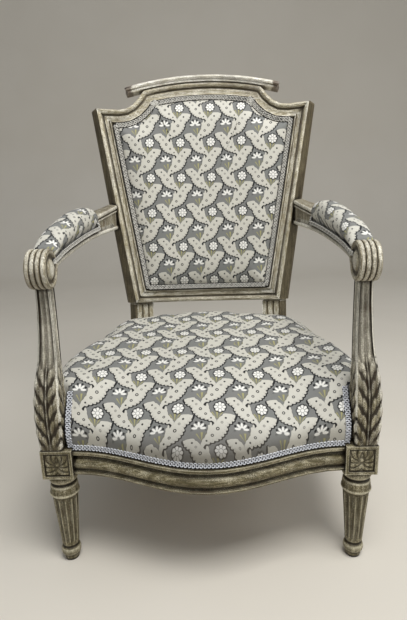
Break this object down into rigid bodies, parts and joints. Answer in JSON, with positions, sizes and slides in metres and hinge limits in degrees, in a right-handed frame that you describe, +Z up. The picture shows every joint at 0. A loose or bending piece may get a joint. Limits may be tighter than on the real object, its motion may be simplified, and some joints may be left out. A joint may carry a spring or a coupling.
{
  "type": "armchair",
  "caption": "Open armchair with a carved and painted wood frame, padded seat, back and arm rests in a woven flower cover, rolled arm ends and fluted tapered legs.",
  "frame": {"origin": "middle of the bounding box in plan, at floor level under the feet", "axes": "+X towards the sitter's left hand, seen from the front the right side; the chair faces -Y; +Z up"},
  "size_m": [0.5876, 0.5598, 0.9205],
  "materials": {
    "paint": "old grey-cream distemper paint, worn to the wood on edges",
    "aged_paint": "old grey-green paint, rubbed thin and darkened",
    "bare_wood": "bare beech, dull",
    "cover": "woven jacquard of leaves and flowers, matt with a slight sheen",
    "braid": "looped upholstery braid",
    "jute": "woven jute webbing",
    "hessian": "open plain weave hessian"
  },
  "bodies": {
    "root": {"front_seat_rail": "aged_paint", "rear_seat_rail": "aged_paint", "crest_rail": "paint", "crest_cap": "paint", "lower_back_rail": "paint", "front_leg_left": "aged_paint", "rear_post_left": "paint", "side_seat_rail_left": "aged_paint", "arm_left": "paint", "arm_support_left": "aged_paint", "arm_pad_left": "cover", "arm_pad_braid_left": "braid", "seat_side_braid_left": "braid", "seat_riser_braid_left": "braid", "front_rail_peg_left": "bare_wood", "side_rail_front_peg_left": "bare_wood", "side_rail_rear_peg_left": "bare_wood", "rear_rail_peg_left": "bare_wood", "lower_back_rail_peg_left": "bare_wood", "crest_rail_peg_left": "bare_wood", "front_leg_right": "aged_paint", "rear_post_right": "paint", "side_seat_rail_right": "aged_paint", "arm_right": "paint", "arm_support_right": "aged_paint", "arm_pad_right": "cover", "arm_pad_braid_right": "braid", "seat_side_braid_right": "braid", "seat_riser_braid_right": "braid", "front_rail_peg_right": "bare_wood", "side_rail_front_peg_right": "bare_wood", "side_rail_rear_peg_right": "bare_wood", "rear_rail_peg_right": "bare_wood", "lower_back_rail_peg_right": "bare_wood", "crest_rail_peg_right": "bare_wood", "seat_cushion": "cover", "seat_front_braid": "braid", "seat_base_cloth": "hessian", "long_strap_1": "jute", "long_strap_2": "jute", "long_strap_3": "jute", "long_strap_4": "jute", "long_strap_5": "jute", "long_strap_6": "jute", "cross_strap_1": "jute", "cross_strap_2": "jute", "cross_strap_3": "jute", "cross_strap_4": "jute", "back_pad": "cover", "back_braid": "braid", "outside_back": "cover", "outside_back_braid": "braid"}
  },
  "joints": []
}
